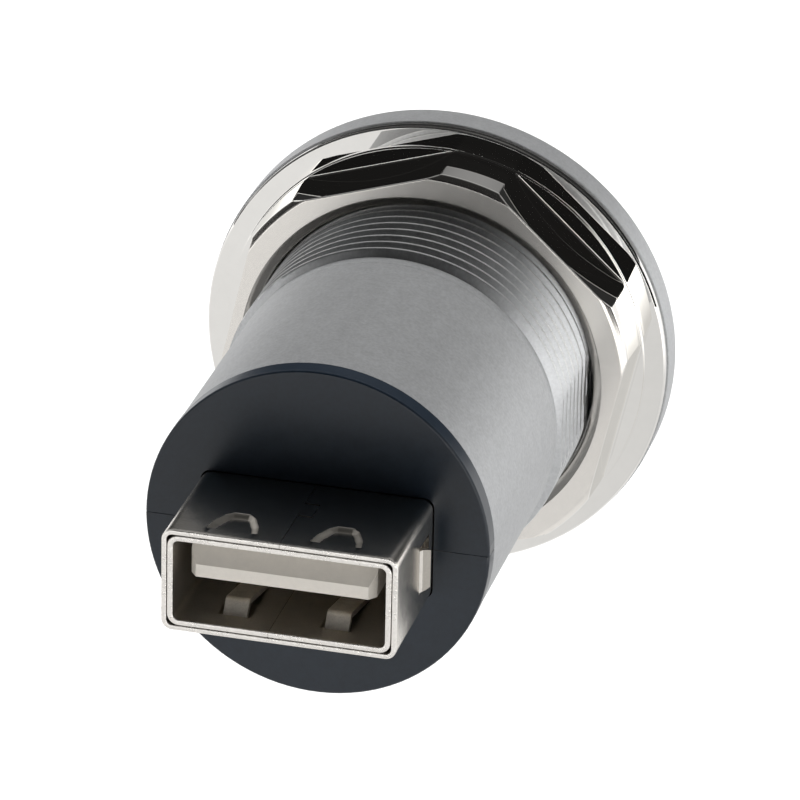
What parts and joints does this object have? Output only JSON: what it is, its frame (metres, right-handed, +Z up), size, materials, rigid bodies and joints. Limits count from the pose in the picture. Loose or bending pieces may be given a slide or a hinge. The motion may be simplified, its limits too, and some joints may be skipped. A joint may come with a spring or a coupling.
{
  "type": "usb panel adapter",
  "caption": "Round panel feed-through with a USB type A socket at each end, a threaded neck and a flanged hexagon nut that clamps it in a panel hole.",
  "frame": {"origin": "on the axis, in the plane where the bezel's back face meets the panel", "axes": "+Y along the axis toward the bezel's front, +Z up toward the tongues of the sockets, rear socket toward -Y"},
  "size_m": [0.0296, 0.039, 0.0296],
  "materials": {
    "housing_grey": "fine blasted and anodised",
    "nut_plate": "bright nickel plated",
    "seal_rubber": "moulded, matte",
    "black_moulding": "moulded, fine texture",
    "plated_sheet": "nickel plated sheet, satin",
    "pale_moulding": "moulded, half gloss",
    "contact_gold": "gold flashed",
    "board_laminate": "solder resist over glass laminate"
  },
  "bodies": {
    "adapter": {"housing": "housing_grey", "panel_seal": "seal_rubber", "carrier_upper": "black_moulding", "carrier_lower": "black_moulding", "rear_outer_shell": "plated_sheet", "rear_inner_shell": "plated_sheet", "rear_tongue": "pale_moulding", "rear_contact_1": "contact_gold", "rear_contact_2": "contact_gold", "rear_contact_3": "contact_gold", "rear_contact_4": "contact_gold", "front_shell": "plated_sheet", "front_tongue": "pale_moulding", "front_contact_1": "contact_gold", "front_contact_2": "contact_gold", "front_contact_3": "contact_gold", "front_contact_4": "contact_gold", "circuit_board": "board_laminate"},
    "nut": {"clamp_nut": "nut_plate"}
  },
  "joints": [
    {"name": "nut_run", "type": "slide", "parent": "adapter", "child": "nut", "axis": [0, -1, 0], "range_m": [0, 0.04]}
  ]
}
